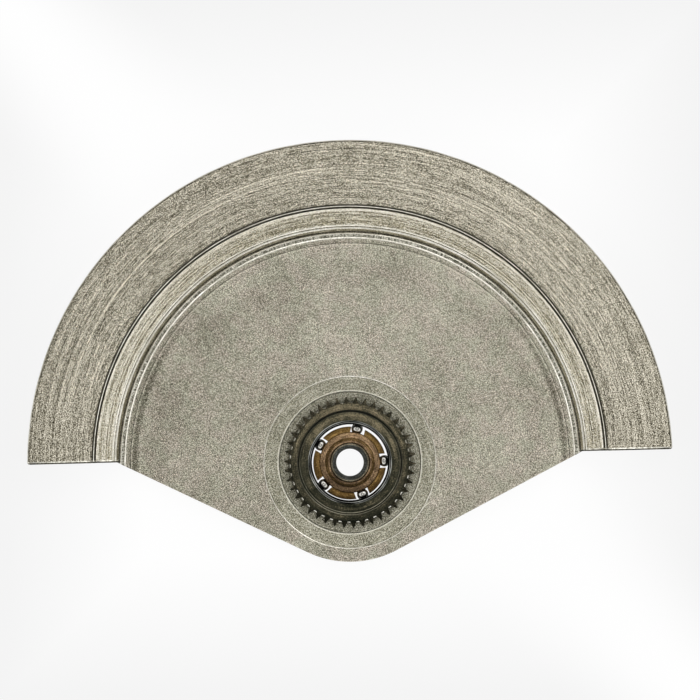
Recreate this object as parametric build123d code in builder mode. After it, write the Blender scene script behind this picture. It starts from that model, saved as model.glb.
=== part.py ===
from build123d import *
from math import acos, asin, cos, degrees, radians, sin, sqrt, tan
import os

# The winding rotor of an automatic watch, seen from the movement side
#
# The origin is the centre of the ball bearing, in the plane of its balls. +Z points to the movement,
# +Y to the middle of the heavy segment, and the rotor is symmetric about the YZ plane.
# All lengths are in millimetres.

# Outer size
rotor_radius = 12.50
segment_height = 1.25

# Steps of the heavy segment, from its rim inwards
band_width = 2.52
ledge_width = 0.05
ledge_drop = 0.20
step_width = 0.25
land_drop = 0.40
land_slope_width = 0.11
land_width = 0.55
scribed_line_size = 0.015
lip_width = 0.11
lip_drop = 0.03
slope_width = 0.09
slope_height = 0.19
end_offset = 0.217
rim_chamfer = 0.06
corner_chamfer = 0.09

# Plate
plate_thickness = 0.45
plate_inset = 0.05
seam_gap = 0.04
rim_height = 0.12
rolled_band_width = 0.19
rolled_band_depth = 0.02
rim_slope_width = 0.15
end_step = 0.062
flange_width = 0.41
flange_thickness = 0.18
flange_gap = 0.04
hub_width = 0.55
upper_step_width = 0.58
upper_step_depth = 0.06
lower_step_depth = 0.08
edge_break = 0.035

# Ball bearing, from its bore outwards
bore_radius = 0.53
core_wall = 0.21
neck_step = 0.09
cage_settling = 0.03
running_gap = 0.015
cage_web_width = 0.19
cage_thickness = 0.10
cage_side_gap = 0.02
ball_diameter = 0.45
ball_gap = 0.01
ball_count = 5
contact_angle = 35
race_wall = 0.515
race_height = 0.90
race_chamfer_width = 0.105
race_chamfer_depth = 0.09
race_relief = 0.03
cage_rim_gap = 0.06
pocket_gap = 0.068
cone_rim_height = 0.105
seat_rise = 0.10
head_recess_depth = 0.05
head_recess_wall = 0.12
race_flange_width = 0.26
race_flange_thickness = 0.12
fit_gap = 0.01

# Gear
tooth_module = 0.116
gear_wall = 0.291
gear_thickness = 0.34
gear_setback = 0.05
gear_boss_setback = 0.06
tooth_slope = 0.09
gear_recess_gap = 0.178

# How the gear and the loose pieces of the bearing lie, as the photograph shows them
gear_turn = 1.9
pocket_turn = 2.7
settling_direction = 245
ball_play_shares = (-0.60, 0.75, 0.60, 0.20, -0.20)

# Shares of the sizes that they follow
shoulder_share = 0.644
cone_edge_share = 0.667
tooth_root_share = 0.62
tooth_tip_share = 0.12
ring_groove_place_share = 0.32
ring_groove_width_share = 0.17
dedendum_share = 1.25
scribed_line_share = 0.57

# Bearing radii, each worked out from the one inside it
ball_radius = ball_diameter / 2
spigot_radius = bore_radius + core_wall
neck_radius = spigot_radius + neck_step
cage_bore_radius = neck_radius + cage_settling + running_gap
cage_web_radius = cage_bore_radius + cage_web_width
ball_circle_radius = cage_web_radius + cage_settling + ball_gap + ball_radius
cone_edge_radius = ball_circle_radius - ball_radius * cone_edge_share
shoulder_radius = ball_circle_radius + ball_radius * shoulder_share
cage_radius = shoulder_radius - cage_rim_gap
race_radius = shoulder_radius + race_wall
race_flange_radius = race_radius + race_flange_width
groove_radius = ball_radius + ball_gap
groove_reach = sqrt(groove_radius**2 - (shoulder_radius - ball_circle_radius) ** 2)

# Cones that the balls run on, as a line in the half plane through the axis
contact_radius = ball_circle_radius - groove_radius * cos(radians(contact_angle))
contact_height = groove_radius * sin(radians(contact_angle))
slot_height = cage_thickness / 2 + cage_side_gap


def cone_radius_at(height):
    return contact_radius + (height - contact_height) * tan(radians(contact_angle))


cone_edge_height = contact_height + (cone_edge_radius - contact_radius) / tan(radians(contact_angle))
cone_ring_top = cone_edge_height + cone_rim_height
core_top = cone_ring_top + seat_rise

# Gear and hub radii
gear_bore_radius = race_radius + fit_gap
tooth_root_radius = gear_bore_radius + gear_wall
pitch_radius = tooth_root_radius + dedendum_share * tooth_module
tooth_tip_radius = pitch_radius + tooth_module
tooth_count = round(2 * pitch_radius / tooth_module)
lower_step_radius = tooth_tip_radius + gear_recess_gap
upper_step_radius = lower_step_radius + upper_step_width
hub_radius = upper_step_radius + hub_width

# Radii of the heavy segment and of the plate's rim
band_radius = rotor_radius - band_width
land_radius = band_radius - step_width
scribed_line_radius = land_radius - land_width * scribed_line_share
lip_radius = land_radius - land_width
slope_radius = lip_radius - lip_width
seam_radius = slope_radius - slope_width
segment_bore_radius = seam_radius - edge_break / 2
rim_radius = segment_bore_radius - seam_gap
rolled_band_radius = rim_radius - edge_break
rim_edge_radius = rolled_band_radius - rolled_band_width
rim_foot_radius = rim_edge_radius - rim_slope_width
flange_radius = rim_radius + flange_width

# Heights, worked out from the plane of the balls
race_bottom = -race_height / 2
race_top = race_height / 2
plate_bottom = race_bottom
plate_top = plate_bottom + plate_thickness
upper_step_floor = plate_top - upper_step_depth
lower_step_floor = upper_step_floor - lower_step_depth
rim_top = plate_top + rim_height
segment_bottom = plate_bottom - plate_inset
segment_top = segment_bottom + segment_height
ledge_height = segment_top - ledge_drop
land_height = segment_top - land_drop
lip_height = land_height - lip_drop
slope_foot = lip_height - slope_height
flange_top = plate_bottom + flange_thickness
gear_top = race_top - gear_setback
gear_bottom = gear_top - gear_thickness

# Where the slanting edge of the plate meets its rim, and where it touches the round hub
edge_end_y = end_offset - end_step
edge_end_angle = asin(edge_end_y / rim_radius)
edge_start_angle = edge_end_angle - acos(hub_radius / rim_radius)
edge_slope = edge_end_angle + asin(hub_radius / rim_radius)
edge_start = (hub_radius * cos(edge_start_angle), hub_radius * sin(edge_start_angle))
edge_reach = 2 * rotor_radius
edge_far = (
    edge_start[0] + edge_reach * cos(edge_slope),
    edge_start[1] + edge_reach * sin(edge_slope),
)

# Places in the bearing
settling_x = cage_settling * cos(radians(settling_direction))
settling_y = cage_settling * sin(radians(settling_direction))
pocket_width = ball_diameter + 2 * pocket_gap
ball_play_angle = degrees(asin((pocket_gap - ball_gap) / ball_circle_radius))
ball_angles = [
    pocket_turn + number * 360 / ball_count + play * ball_play_angle
    for number, play in enumerate(ball_play_shares)
]

print(f"ball circle radius {ball_circle_radius:.3f}, outer ring radius {race_radius:.3f}")
print(f"gear: {tooth_count} teeth, tip radius {tooth_tip_radius:.3f}")
print(f"hub radius {hub_radius:.3f}, seam radius {segment_bore_radius:.3f}")
print(f"plate edge slope {degrees(edge_slope):.2f} degrees")

# Heavy segment: half a stepped ring of heavy alloy, turned, then cut along a straight line
with BuildPart() as heavy_segment:
    with BuildSketch(Plane.XZ):
        with BuildLine():
            Polyline(
                (flange_radius + flange_gap, segment_bottom),
                (rotor_radius - rim_chamfer, segment_bottom),
                (rotor_radius, segment_bottom + rim_chamfer),
                (rotor_radius, segment_top - rim_chamfer),
                (rotor_radius - rim_chamfer, segment_top),
                (band_radius + edge_break, segment_top),
                (band_radius, segment_top - edge_break),
                (band_radius - edge_break, ledge_height),
                (band_radius - edge_break - ledge_width, ledge_height),
                (land_radius + land_slope_width, land_height + edge_break),
                (land_radius, land_height),
                (scribed_line_radius + scribed_line_size, land_height),
                (scribed_line_radius, land_height - scribed_line_size),
                (scribed_line_radius - scribed_line_size, land_height),
                (lip_radius + edge_break, land_height),
                (lip_radius, lip_height),
                (slope_radius, lip_height),
                (seam_radius, slope_foot),
                (segment_bore_radius, slope_foot - edge_break),
                (segment_bore_radius, flange_top),
                (flange_radius + flange_gap, flange_top),
                close=True,
            )
        make_face()
    revolve(axis=Axis.Z)
    split(bisect_by=Plane(origin=(0, end_offset, 0), z_dir=(0, 1, 0)), keep=Keep.TOP)
    end_faces = heavy_segment.faces().filter_by(Axis.Y).group_by(Axis.Y)[0]
    rim_corners = end_faces.edges().filter_by(Axis.Z).filter_by(
        lambda edge: abs(edge.center().X) > band_radius
    )
    chamfer(rim_corners, corner_chamfer)
heavy_segment.part.label = "heavy_segment"
export_step(heavy_segment.part, "parts/heavy_segment.step")

# Plate: turned with its hub steps and its rim, then cut to the outline of a round hub and two tangents
with BuildPart() as rotor_plate:
    with BuildSketch(Plane.XZ):
        with BuildLine():
            Polyline(
                (race_radius + fit_gap, plate_bottom + race_flange_thickness),
                (race_flange_radius + fit_gap, plate_bottom + race_flange_thickness),
                (race_flange_radius + fit_gap, plate_bottom),
                (flange_radius, plate_bottom),
                (flange_radius, flange_top),
                (rim_radius, flange_top),
                (rim_radius, rim_top - edge_break),
                (rolled_band_radius, rim_top),
                (rolled_band_radius - edge_break, rim_top - rolled_band_depth),
                (rim_edge_radius + edge_break, rim_top - rolled_band_depth),
                (rim_edge_radius, rim_top),
                (rim_foot_radius, plate_top),
                (upper_step_radius + edge_break, plate_top),
                (upper_step_radius, plate_top - edge_break),
                (upper_step_radius, upper_step_floor),
                (lower_step_radius + edge_break, upper_step_floor),
                (lower_step_radius, upper_step_floor - edge_break),
                (lower_step_radius, lower_step_floor),
                (race_radius + fit_gap, lower_step_floor),
                close=True,
            )
        make_face()
    revolve(axis=Axis.Z)
    with BuildSketch(Plane.XY.offset(plate_bottom)):
        with BuildLine():
            Polyline(
                edge_start,
                edge_far,
                (edge_far[0], edge_reach),
                (-edge_far[0], edge_reach),
                (-edge_far[0], edge_far[1]),
                (-edge_start[0], edge_start[1]),
                close=True,
            )
        make_face()
        Circle(hub_radius)
    extrude(amount=plate_thickness + rim_height, mode=Mode.INTERSECT)
    for height in (plate_top, plate_bottom):
        face_edges = rotor_plate.edges().filter_by_position(Axis.Z, height, height)
        slanting_edges = face_edges.filter_by(GeomType.LINE)
        hub_arcs = face_edges.filter_by(GeomType.CIRCLE).filter_by(
            lambda edge: edge.center().Y < edge_start[1]
        )
        chamfer(slanting_edges + hub_arcs, edge_break)
rotor_plate.part.label = "rotor_plate"
export_step(rotor_plate.part, "parts/rotor_plate.step")

# Outer ring of the bearing: a ball groove inside, and a flange that the plate rests on
with BuildPart() as outer_race:
    with BuildSketch(Plane.XZ):
        with BuildLine():
            Polyline(
                (shoulder_radius, groove_reach),
                (shoulder_radius, race_top - race_chamfer_depth),
                (shoulder_radius + race_chamfer_width, race_top),
                (race_radius - race_relief - edge_break, race_top),
                (race_radius - race_relief, race_top - edge_break),
                (race_radius - race_relief, (gear_top + gear_bottom) / 2),
                (race_radius, (gear_top + gear_bottom) / 2 - race_relief),
                (race_radius, race_bottom + race_flange_thickness),
                (race_flange_radius, race_bottom + race_flange_thickness),
                (race_flange_radius, race_bottom + edge_break),
                (race_flange_radius - edge_break, race_bottom),
                (shoulder_radius + race_chamfer_width, race_bottom),
                (shoulder_radius, race_bottom + race_chamfer_depth),
                (shoulder_radius, -groove_reach),
            )
            ThreePointArc(
                (shoulder_radius, -groove_reach),
                (ball_circle_radius + groove_radius, 0),
                (shoulder_radius, groove_reach),
            )
        make_face()
    revolve(axis=Axis.Z)
outer_race.part.label = "outer_race"
export_step(outer_race.part, "parts/outer_race.step")

# Gear: a toothed ring on a boss that holds the plate against the flange of the outer ring
root_half_angle = tooth_root_share * 180 / tooth_count
tip_half_angle = tooth_tip_share * 180 / tooth_count


def at_angle(radius, angle):
    return (radius * cos(radians(angle)), radius * sin(radians(angle)))


with BuildPart() as rotor_gear:
    with BuildSketch(Plane.XY.offset(gear_bottom)):
        Circle(tooth_root_radius)
        with BuildSketch(mode=Mode.PRIVATE) as tooth:
            with BuildLine():
                Polyline(
                    at_angle(tooth_root_radius - tooth_module, -root_half_angle),
                    at_angle(tooth_root_radius, -root_half_angle),
                    at_angle(tooth_tip_radius, -tip_half_angle),
                    at_angle(tooth_tip_radius, tip_half_angle),
                    at_angle(tooth_root_radius, root_half_angle),
                    at_angle(tooth_root_radius - tooth_module, root_half_angle),
                    close=True,
                )
            make_face()
        with PolarLocations(0, tooth_count, start_angle=90 + gear_turn):
            add(tooth.sketch)
    extrude(amount=gear_thickness)
    with BuildSketch(Plane.XY.offset(lower_step_floor)):
        Circle(tooth_root_radius - gear_boss_setback)
    extrude(until=Until.NEXT)
    with BuildSketch(Plane.XY.offset(lower_step_floor)):
        Circle(gear_bore_radius)
    extrude(amount=segment_height, mode=Mode.SUBTRACT)
    with BuildSketch(Plane.XZ):
        with BuildLine():
            Polyline(
                (tooth_root_radius - edge_break, gear_top),
                (tooth_tip_radius + edge_break, gear_top),
                (tooth_tip_radius + edge_break, gear_top - tooth_slope),
                close=True,
            )
        make_face()
    revolve(axis=Axis.Z, mode=Mode.SUBTRACT)
rotor_gear.part.label = "rotor_gear"
export_step(rotor_gear.part, "parts/rotor_gear.step")

# Core of the bearing: the lower cone, the neck that the cage runs on and the spigot for the upper cone
with BuildPart() as bearing_core:
    with BuildSketch(Plane.XZ):
        with BuildLine():
            Polyline(
                (bore_radius, head_recess_depth - cone_ring_top),
                (cone_edge_radius - head_recess_wall, head_recess_depth - cone_ring_top),
                (cone_edge_radius - head_recess_wall, -cone_ring_top),
                (cone_edge_radius - edge_break, -cone_ring_top),
                (cone_edge_radius, edge_break - cone_ring_top),
                (cone_edge_radius, -cone_edge_height),
                (cone_radius_at(slot_height), -slot_height),
                (neck_radius, -slot_height),
                (neck_radius, slot_height),
                (spigot_radius, slot_height),
                (spigot_radius, core_top - edge_break),
                (spigot_radius - edge_break, core_top),
                (bore_radius, core_top),
                close=True,
            )
        make_face()
    revolve(axis=Axis.Z)
bearing_core.part.label = "bearing_core"
export_step(bearing_core.part, "parts/bearing_core.step")

# Cone ring: the upper cone, pressed over the spigot and resting on the step of the neck
ring_width = cone_edge_radius - spigot_radius
ring_groove_radius = spigot_radius + ring_width * ring_groove_place_share
ring_groove_half_width = ring_width * ring_groove_width_share / 2
with BuildPart() as cone_ring:
    with BuildSketch(Plane.XZ):
        with BuildLine():
            Polyline(
                (spigot_radius + fit_gap, slot_height),
                (cone_radius_at(slot_height), slot_height),
                (cone_edge_radius, cone_edge_height),
                (cone_edge_radius, cone_ring_top - edge_break),
                (cone_edge_radius - edge_break, cone_ring_top),
                (ring_groove_radius + ring_groove_half_width, cone_ring_top),
                (ring_groove_radius, cone_ring_top - edge_break),
                (ring_groove_radius - ring_groove_half_width, cone_ring_top),
                (spigot_radius + fit_gap + edge_break, cone_ring_top),
                (spigot_radius + fit_gap, cone_ring_top - edge_break),
                close=True,
            )
        make_face()
    revolve(axis=Axis.Z)
cone_ring.part.label = "cone_ring"
export_step(cone_ring.part, "parts/cone_ring.step")

# Cage: a flat comb, open outwards, that has settled to one side by its play on the neck
with BuildPart() as ball_cage:
    with BuildSketch(Plane.XY.offset(-cage_thickness / 2)):
        with Locations((settling_x, settling_y)):
            Circle(cage_radius)
            Circle(cage_bore_radius, mode=Mode.SUBTRACT)
        with Locations((settling_x, settling_y)):
            with PolarLocations(cage_web_radius, ball_count, start_angle=pocket_turn):
                Rectangle(
                    cage_radius, pocket_width, align=(Align.MIN, Align.CENTER), mode=Mode.SUBTRACT
                )
    extrude(amount=cage_thickness)
ball_cage.part.label = "ball_cage"
export_step(ball_cage.part, "parts/ball_cage.step")

# Balls, each where it lies in its pocket
for number, angle in enumerate(ball_angles, start=1):
    ball_x, ball_y = at_angle(ball_circle_radius, angle)
    print(f"ball_{number} centre: {ball_x:.4f}, {ball_y:.4f}")
    with BuildPart() as ball:
        with Locations((ball_x, ball_y, 0)):
            Sphere(ball_radius)
    ball.part.label = f"ball_{number}"
    export_step(ball.part, f"parts/ball_{number}.step")
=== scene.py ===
# %% [markdown]
# # The winding rotor of an automatic watch
#
# A rotor swings with the wearer's wrist and winds the watch. It has a thin plate, a heavy half
# ring along the plate's rim, and a ball bearing as small as a lentil in its hub. The engineering
# model gives the places and sizes of all this. This notebook puts a finer skin on each of its
# parts: rounded edges, tool marks, dried oil, and light to see them by.

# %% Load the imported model
import math
import random

import bmesh
import bpy
from mathutils import Matrix, Vector


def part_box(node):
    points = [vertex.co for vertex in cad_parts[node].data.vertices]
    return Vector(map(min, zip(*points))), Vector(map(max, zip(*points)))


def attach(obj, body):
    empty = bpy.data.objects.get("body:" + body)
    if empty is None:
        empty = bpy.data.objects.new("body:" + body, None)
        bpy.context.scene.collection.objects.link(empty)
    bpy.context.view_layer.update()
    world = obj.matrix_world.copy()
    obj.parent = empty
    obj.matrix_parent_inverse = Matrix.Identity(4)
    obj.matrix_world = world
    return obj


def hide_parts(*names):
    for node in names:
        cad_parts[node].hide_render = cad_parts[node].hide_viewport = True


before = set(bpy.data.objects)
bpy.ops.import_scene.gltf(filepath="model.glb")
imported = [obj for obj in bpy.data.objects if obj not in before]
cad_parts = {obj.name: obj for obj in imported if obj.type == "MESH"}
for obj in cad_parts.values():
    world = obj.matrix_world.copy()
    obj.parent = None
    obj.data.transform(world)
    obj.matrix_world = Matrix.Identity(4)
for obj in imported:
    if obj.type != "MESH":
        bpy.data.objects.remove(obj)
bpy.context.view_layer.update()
print("parts:", sorted(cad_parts))

# %% [markdown]
# Watch parts are measured in hundredths of a millimetre, and Blender's unit is the metre. Tools
# such as Bevel and Merge by Distance lose their grip on lengths that small. So every piece is
# modelled in millimetres and scaled down once, when its mesh is finished.

# %% Units, and the sizes shared by several pieces
MM = 0.001
rotor_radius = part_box("heavy_segment")[1].x / MM
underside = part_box("heavy_segment")[0].z / MM
segment_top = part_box("heavy_segment")[1].z / MM
segment_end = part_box("heavy_segment")[0].y / MM
hub_radius = -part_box("rotor_plate")[0].y / MM
plate_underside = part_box("rotor_plate")[0].z / MM
plate_top = 0.0
print(f"rotor {2 * rotor_radius:.2f} mm across, underside at {underside:.2f} mm")

# %% [markdown]
# Almost every part of the rotor was made on a lathe. Spin does the same: the outline of a cross
# section goes once round the Z axis. Each corner of the outline has its own rounding, because
# no turned edge is perfectly sharp, and it is the small round edges that catch the light. They
# are rounded on the flat outline, where a bevel is cheap and never fails. A spin slows down
# with its length, so it makes one sector, and a second spin copies that round the axis.
#
# A row of an outline holds a radius, a height, the corner's rounding, and which of the piece's
# finishes the surface has from there to the next row.

# %% A lathe
def nearest_finish(centre, outline):
    spot = Vector((math.hypot(centre.x, centre.y), centre.z))
    nearest = (math.inf, 0)
    for here, there in zip(outline, outline[1:] + outline[:1]):
        start = Vector(here[:2])
        run = Vector(there[:2]) - start
        share = max(0.0, min(1.0, (spot - start).dot(run) / run.length_squared))
        nearest = min(nearest, ((spot - start - run * share).length, here[3]))
    return nearest[1]


def everything(work):
    return work.verts[:] + work.edges[:] + work.faces[:]


def spin_round(work, geom, angle, steps, copies=False):
    bmesh.ops.spin(
        work,
        geom=geom,
        cent=(0, 0, 0),
        axis=(0, 0, 1),
        angle=angle,
        steps=steps,
        use_duplicate=copies,
    )


def weld(work, gap):
    bmesh.ops.remove_doubles(work, verts=work.verts[:], dist=gap)
    bmesh.ops.recalc_face_normals(work, faces=work.faces[:])


def open_edges(work):
    return sum(not edge.is_manifold for edge in work.edges)


def turn_on_lathe(outline, steps, sectors=12):
    work = bmesh.new()
    corners = [work.verts.new((row[0], 0, row[1])) for row in outline]
    work.faces.new(corners)
    for corner, row in zip(corners, outline):
        if row[2]:
            bmesh.ops.bevel(
                work,
                geom=[corner],
                offset=row[2],
                offset_type="OFFSET",
                segments=3,
                profile=0.5,
                affect="VERTICES",
                material=-1,
            )
    bmesh.ops.delete(work, geom=work.faces[:], context="FACES_ONLY")
    sector = math.tau / sectors
    spin_round(work, work.verts[:] + work.edges[:], sector, steps // sectors)
    for face in work.faces:
        face.material_index = nearest_finish(face.calc_center_median(), outline)
    spin_round(work, everything(work), math.tau - sector, sectors - 1, copies=True)
    weld(work, 0.0004)
    return work


# %% [markdown]
# The heavy half ring and the plate are turned whole and then cut. Bisect cuts a mesh along a
# plane, and Fill Holes closes the cut. A filled face would copy the finish of any neighbour, so
# it gets the piece's first one, which is that of its broad faces. A second use of Bisect only
# scores the mesh, which gives a row of points beside the cut that can be lowered to round it.

# %% A saw and a scoring tool
ON_THE_PLANE = 0.00001


def score(work, point, away, parts=None, clear_outer=False):
    return bmesh.ops.bisect_plane(
        work,
        geom=parts or everything(work),
        dist=ON_THE_PLANE,
        plane_co=point,
        plane_no=away,
        clear_outer=clear_outer,
    )


def saw_off(work, point, away, parts=None):
    cut = score(work, point, away, parts, clear_outer=True)
    rim = [part for part in cut["geom_cut"] if isinstance(part, bmesh.types.BMEdge)]
    caps = bmesh.ops.holes_fill(work, edges=rim, sides=0)["faces"]
    for cap in caps:
        cap.material_index = 0
    return [part for part in cut["geom"] if part.is_valid] + caps


def round_over(distance, rounding):
    if distance >= rounding:
        return 0.0
    return rounding - math.sqrt(rounding**2 - (rounding - max(distance, 0.0)) ** 2)


# %% [markdown]
# When its mesh is done, a piece is scaled to metres and shaded smooth except at real corners. It
# then stands for its part of the engineering model and moves with the same body.

# %% Hand a finished mesh over
def hand_over(work, name, node, body, finishes):
    bmesh.ops.scale(work, vec=(MM, MM, MM), verts=work.verts[:])
    mesh = bpy.data.meshes.new(name)
    work.to_mesh(mesh)
    work.free()
    mesh.shade_smooth()
    mesh.set_sharp_from_angle(angle=math.radians(35))
    for finish in finishes:
        mesh.materials.append(finish)
    piece = bpy.data.objects.new(name, mesh)
    bpy.context.collection.objects.link(piece)
    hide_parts(node)
    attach(piece, body)
    triangles = sum(len(polygon.vertices) - 2 for polygon in mesh.polygons)
    print(f"{name}: {triangles} triangles")


# %% [markdown]
# A finish is a set of nodes. One function adds a node of any kind, with its settings and what
# goes into its sockets. It is told the kind without the ShaderNode that all of them begin with.
# Three short ones use it for arithmetic, on numbers, on vectors and on the ends of a range.
# Colours are given as the hex values of a screen, which aren't in proportion to light,
# so another function turns them into the linear values of a shader.

# %% Nodes and colours
def add_node(tree, kind, sockets=None, stops=None, **settings):
    node = tree.nodes.new("ShaderNode" + kind)
    for name, value in settings.items():
        setattr(node, name, value)
    for name, value in (sockets or {}).items():
        if isinstance(value, bpy.types.NodeSocket):
            tree.links.new(value, node.inputs[name])
        else:
            node.inputs[name].default_value = value
    if stops:
        marks = node.color_ramp.elements
        while len(marks) < len(stops):
            marks.new(1.0)
        for mark, (place, colour) in zip(marks, stops):
            mark.position = place
            mark.color = colour
    return node


def calculate(tree, operation, *values):
    return add_node(tree, "Math", dict(enumerate(values)), operation=operation).outputs[0]


def calculate_vector(tree, operation, *values):
    node = add_node(tree, "VectorMath", dict(enumerate(values)), operation=operation)
    return node.outputs["Value" if operation in ("DOT_PRODUCT", "LENGTH") else "Vector"]


def map_range(tree, value, start, end, to_start=0.0, to_end=1.0, **settings):
    sockets = {"Value": value, "From Min": start, "From Max": end}
    sockets |= {"To Min": to_start, "To Max": to_end}
    return add_node(tree, "MapRange", sockets, **settings).outputs["Result"]


def linear(hex_colour):
    parts = [int(hex_colour[start : start + 2], 16) / 255 for start in (0, 2, 4)]
    return [
        part / 12.92 if part <= 0.04045 else ((part + 0.055) / 1.055) ** 2.4 for part in parts
    ] + [1.0]


print("mid nickel grey in linear light:", [round(part, 3) for part in linear("A5A091")])

# %% [markdown]
# Tool marks on turned metal run round the axis. A noise texture would show a seam if it were
# wrapped by angle. Instead the direction from the axis, as a point on a circle, gives two of its
# coordinates, and the radius gives the third. The circle closes on itself, so there is no seam.
# The size of the marks is then set in millimetres, along the turning and across it.

# %% Patterns that follow the turning, and patterns that don't
def start_finish(name):
    finish = bpy.data.materials.new(name)
    finish.use_nodes = True
    tree = finish.node_tree
    tree.nodes.clear()
    shader = add_node(tree, "BsdfPrincipled", {"Metallic": 1.0})
    add_node(tree, "OutputMaterial", {"Surface": shader.outputs["BSDF"]})
    coordinates = add_node(tree, "TexCoord").outputs["Object"]
    place = add_node(tree, "VectorMath", {0: coordinates, "Scale": 1 / MM}, operation="SCALE")
    return finish, tree, shader, place.outputs["Vector"]


def across_axis(tree, place):
    flat = calculate_vector(tree, "MULTIPLY", place, (1, 1, 0))
    return flat, calculate_vector(tree, "LENGTH", flat)


def noise_at(tree, spot, scale, detail):
    noise = add_node(tree, "TexNoise", {"Vector": spot, "Scale": scale, "Detail": detail})
    return noise.outputs["Fac"]


def noise_round_axis(tree, place, at_radius, along, across, detail=2.0, shift=0.0):
    flat, radius = across_axis(tree, place)
    height = add_node(tree, "SeparateXYZ", {0: place}).outputs["Z"]
    heading = calculate_vector(tree, "NORMALIZE", flat)
    reach = at_radius / along
    circle = add_node(tree, "VectorMath", {0: heading, "Scale": reach}, operation="SCALE")
    slant = calculate(tree, "ADD", radius, height)
    depth = calculate(tree, "MULTIPLY_ADD", slant, 1 / across, shift)
    rise = add_node(tree, "CombineXYZ", {"Z": depth})
    joined = calculate_vector(tree, "ADD", circle.outputs["Vector"], rise.outputs["Vector"])
    return noise_at(tree, joined, 1.0, detail)


def noise_all_ways(tree, place, size, detail=2.0):
    askew = add_node(tree, "Mapping", {"Vector": place, "Rotation": (0.6, 0.5, 0.3)})
    return noise_at(tree, askew.outputs["Vector"], 1 / size, detail)


# %% [markdown]
# A finish is read as a sum of patterns: long marks, short marks, grit and blotches, each with its
# weight. The sum stays about one half, and a colour ramp turns it into metal from the darkest
# scratch to the brightest glint. The same sum drives the roughness and the bump. Two kinds of
# pattern are slow tones: one grows along a direction, and one follows the distance from the axis.

# %% Sum of patterns, scratches, and what they drive
NEUTRAL = 0.5


def sum_of(tree, *parts):
    total = NEUTRAL - NEUTRAL * sum(weight for _, weight in parts)
    for pattern, weight in parts:
        total = calculate(tree, "MULTIPLY_ADD", pattern, weight, total)
    return total


def rare_marks(tree, noise, rarity):
    return map_range(tree, noise, rarity, rarity + 0.05, NEUTRAL)


def scratches(tree, place, heading, length, width, rarity):
    turned = add_node(
        tree, "Mapping", {"Vector": place, "Rotation": (0, 0, math.radians(-heading))}
    )
    shrinking = (1 / length, 1 / width, 1)
    drawn_out = calculate_vector(tree, "MULTIPLY", turned.outputs["Vector"], shrinking)
    noise = noise_all_ways(tree, drawn_out, size=1.0, detail=0.0)
    return rare_marks(tree, noise, rarity)


# The two slow tones serve to paint light and shade into a finish.
def tone_along(tree, place, way, per_mm):
    side = calculate_vector(tree, "DOT_PRODUCT", place, way)
    return calculate(tree, "MULTIPLY_ADD", side, per_mm, NEUTRAL)


def tone_by_radius(tree, place, rows):
    radius = across_axis(tree, place)[1]
    nearest, farthest = rows[0][0], rows[-1][0]
    share = map_range(tree, radius, nearest, farthest)
    tones = [((at - nearest) / (farthest - nearest), (tone, tone, tone, 1.0)) for at, tone in rows]
    ramp = add_node(tree, "ValToRGB", {"Fac": share}, stops=tones)
    return ramp.outputs["Color"]


def apply_pattern(tree, shader, pattern, stops, smoothest, roughest, relief):
    shades = [(place, linear(shade)) for place, shade in stops]
    colour = add_node(tree, "ValToRGB", {"Fac": pattern}, stops=shades)
    roughness = map_range(tree, pattern, 0.3, 0.7, roughest, smoothest)
    bump = add_node(tree, "Bump", {"Height": pattern, "Strength": 1.0, "Distance": relief * MM})
    tree.links.new(colour.outputs["Color"], shader.inputs["Base Color"])
    tree.links.new(roughness, shader.inputs["Roughness"])
    tree.links.new(bump.outputs["Normal"], shader.inputs["Normal"])


# %% [markdown]
# The heavy half ring is a tungsten alloy, pressed from powder and turned on a lathe. Its broad
# outer band keeps the coarse marks of the cutting tool: bright and dark streaks, from a quarter
# of a millimetre to several long, over the fine pits that the powder leaves. The pits are really
# about five thousandths of a millimetre wide and are drawn five times coarser, so that they show.

# %% Finish: turned tungsten alloy, coarse
coarse_turning, tree, shader, place = start_finish("tungsten_alloy_coarse_turned")
long_marks = noise_round_axis(tree, place, 11.2, along=6.0, across=0.034, detail=0.0, shift=3.0)
dark_marks = noise_round_axis(tree, place, 11.2, along=3.0, across=0.034, detail=0.0, shift=11.0)
# corner_shade is painted shade: darker at the foot of the step inside the band and a little darker
# towards the rim, with a thin painted dark line beside the rim's chamfer.
corner_tones = [(9.98, 0.16), (10.02, 0.33), (10.08, 0.47), (10.14, 0.5), (11.5, 0.5)]
corner_tones += [(11.9, 0.47), (12.40, 0.46), (12.42, 0.05), (12.445, 0.05), (12.46, 0.42)]
corner_shade = tone_by_radius(tree, place, corner_tones)
pattern = sum_of(
    tree,
    (noise_round_axis(tree, place, 11.2, along=9.0, across=0.055, detail=0.0, shift=7.0), 0.50),
    (noise_round_axis(tree, place, 11.2, along=0.5, across=0.027, detail=0.0, shift=1.0), 0.75),
    (noise_all_ways(tree, place, size=0.0255, detail=0.0), 3.0),
    (noise_all_ways(tree, place, size=1.4), 0.08),
    (rare_marks(tree, long_marks, rarity=0.63), 0.50),
    (rare_marks(tree, dark_marks, rarity=0.66), -0.30),
    # The tone along X is painted light: the half ring is paler towards +X.
    (tone_along(tree, place, (1.0, 0.0, 0.0), 0.003), 1.0),
    (corner_shade, 1.0),
)
stops = [(0.05, "25231A"), (0.40, "837D68"), (0.60, "ABA48F"), (0.95, "F9F2E0")]
apply_pattern(tree, shader, pattern, stops, smoothest=0.30, roughest=0.46, relief=0.005)
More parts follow.
